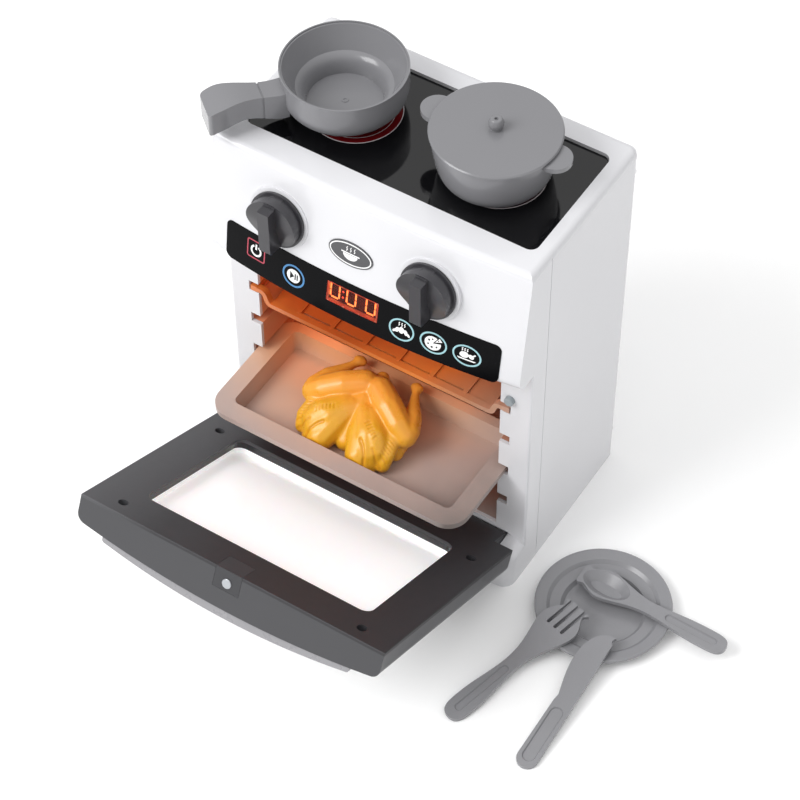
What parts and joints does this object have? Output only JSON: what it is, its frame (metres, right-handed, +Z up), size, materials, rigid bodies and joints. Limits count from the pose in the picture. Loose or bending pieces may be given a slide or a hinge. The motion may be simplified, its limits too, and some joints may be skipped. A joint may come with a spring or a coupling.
{
  "type": "toy oven",
  "caption": "Toy oven with hob, drop-down door on a hinge, sliding rack and tray, turning knobs, lift-off pan, lidded pot, roast chicken, and a plate with cutlery.",
  "frame": {"origin": "middle of the oven's underside, on the surface it stands on", "axes": "+X to the right of somebody facing the door, -Y towards them, +Z up"},
  "size_m": [0.3377, 0.2695, 0.2969],
  "materials": {
    "white_shell": "smooth, lightly glossy moulded ABS",
    "white_base": "plain moulded ABS",
    "oven_lining": "satin moulded lining, warm in the lamp's light",
    "lamp_lens": "translucent orange lens",
    "circuit_board": "green lacquered board",
    "hob_black": "high-gloss black sheet",
    "burner_red": "translucent red ring",
    "lamp_red": "clear red lamp",
    "label_black": "printed black label",
    "badge_grey": "printed dark badge",
    "display_red": "dark red display window",
    "switch_black": "plain black plastic",
    "speaker_black": "paper cone and steel pot",
    "battery_sleeve": "printed battery sleeve",
    "spring_steel": "bright spring wire",
    "steel": "zinc-plated steel",
    "door_grey": "satin dark grey plastic",
    "window_opal": "translucent opal moulded sheet",
    "handle_grey": "satin light grey plastic",
    "rack_grey": "satin light grey plastic",
    "tray_grey": "satin light grey plastic",
    "chicken_gold": "soft golden vinyl",
    "knob_grey": "satin dark grey plastic",
    "cookware_grey": "satin mid grey plastic"
  },
  "bodies": {
    "casing": {"front_housing": "white_shell", "rear_housing": "white_shell", "base_plate": "white_base", "oven_liner": "oven_lining", "oven_lamp_lens": "lamp_lens", "oven_lamp": "circuit_board", "hob_plate": "hob_black", "burner_ring_left": "burner_red", "burner_ring_right": "burner_red", "hob_lamps": "lamp_red", "hob_lamp_boards": "circuit_board", "control_label": "label_black", "badge": "badge_grey", "display_window": "display_red", "display_module": "display_red", "control_board": "circuit_board", "board_screws": "steel", "rotary_switch_left": "switch_black", "rotary_switch_right": "switch_black", "door_switch": "switch_black", "speaker": "speaker_black", "battery_box": "white_base", "batteries": "battery_sleeve", "battery_contacts": "spring_steel", "housing_screws": "steel", "base_screws": "steel"},
    "door": {"door_inner_panel": "door_grey", "door_outer_shell": "door_grey", "door_window": "window_opal", "door_screws": "steel", "hinge_pins": "steel", "door_handle": "handle_grey", "latch_block": "door_grey", "latch_spring": "spring_steel"},
    "latch": {"latch_pin": "handle_grey"},
    "plunger": {"switch_plunger": "switch_black", "plunger_spring": "spring_steel"},
    "rack": {"oven_rack": "rack_grey"},
    "tray": {"baking_tray": "tray_grey"},
    "chicken": {"roast_chicken": "chicken_gold"},
    "left_knob": {"knob_left": "knob_grey", "knob_shaft_left": "white_base"},
    "right_knob": {"knob_right": "knob_grey", "knob_shaft_right": "white_base"},
    "pan": {"frying_pan": "cookware_grey"},
    "pot": {"cooking_pot": "cookware_grey"},
    "lid": {"pot_lid": "cookware_grey", "pot_lid_knob": "cookware_grey"},
    "plate": {"dinner_plate": "cookware_grey"},
    "spoon": {"spoon": "cookware_grey"},
    "fork": {"fork": "cookware_grey"},
    "knife": {"knife": "cookware_grey"},
    "battery_cover": {"battery_cover": "white_base", "battery_cover_screw": "steel"}
  },
  "joints": [
    {"name": "door_hinge", "type": "hinge", "parent": "casing", "child": "door", "pos_m": [0, -0.0675, 0.0223], "axis": [-1, 0, 0], "range_deg": [0, 65]},
    {"name": "tray_slide", "type": "slide", "parent": "casing", "child": "tray", "axis": [0, 1, 0], "range_m": [0, 0.0525]},
    {"name": "plunger_slide", "type": "slide", "parent": "casing", "child": "plunger", "axis": [0, 1, 0], "range_m": [0, 0.003]},
    {"name": "rack_slide", "type": "slide", "parent": "casing", "child": "rack", "axis": [0, 1, 0], "range_m": [-0.05, 0]},
    {"name": "chicken_lift", "type": "slide", "parent": "tray", "child": "chicken", "axis": [0, 0, 1], "range_m": [0, 0.02]},
    {"name": "left_knob_turn", "type": "hinge", "parent": "casing", "child": "left_knob", "pos_m": [-0.0528, -0.067, 0.227], "axis": [0, 0.9847, -0.1743], "range_deg": [0, 270]},
    {"name": "right_knob_turn", "type": "hinge", "parent": "casing", "child": "right_knob", "pos_m": [0.0432, -0.06747, 0.227], "axis": [0, 0.9837, -0.18], "range_deg": [0, 270]},
    {"name": "latch_press", "type": "slide", "parent": "door", "child": "latch", "axis": [0, 0.9063, -0.4226], "range_m": [0, 0.0005], "stiffness_N_per_m": 200},
    {"name": "pan_lift", "type": "slide", "parent": "casing", "child": "pan", "axis": [0, 0, 1], "range_m": [0, 0.06]},
    {"name": "pot_lift", "type": "slide", "parent": "casing", "child": "pot", "axis": [0, 0, 1], "range_m": [0, 0.06]},
    {"name": "lid_lift", "type": "slide", "parent": "pot", "child": "lid", "axis": [0, 0, 1], "range_m": [0, 0.04]},
    {"name": "plate_lift", "type": "slide", "parent": "casing", "child": "plate", "axis": [0, 0, 1], "range_m": [0, 0.05]},
    {"name": "spoon_lift", "type": "slide", "parent": "plate", "child": "spoon", "axis": [0, 0, 1], "range_m": [0, 0.03]},
    {"name": "fork_lift", "type": "slide", "parent": "plate", "child": "fork", "axis": [0, 0, 1], "range_m": [0, 0.03]},
    {"name": "knife_lift", "type": "slide", "parent": "plate", "child": "knife", "axis": [0, 0, 1], "range_m": [0, 0.03]},
    {"name": "battery_cover_pull", "type": "slide", "parent": "casing", "child": "battery_cover", "axis": [0, 1, 0], "range_m": [0, 0.03]}
  ],
  "couplings": [
    {"joint": "tray_slide", "follows": "door_hinge", "m_per_rad": 0.046277},
    {"joint": "plunger_slide", "follows": "door_hinge", "m_per_rad": 0.0026444}
  ]
}
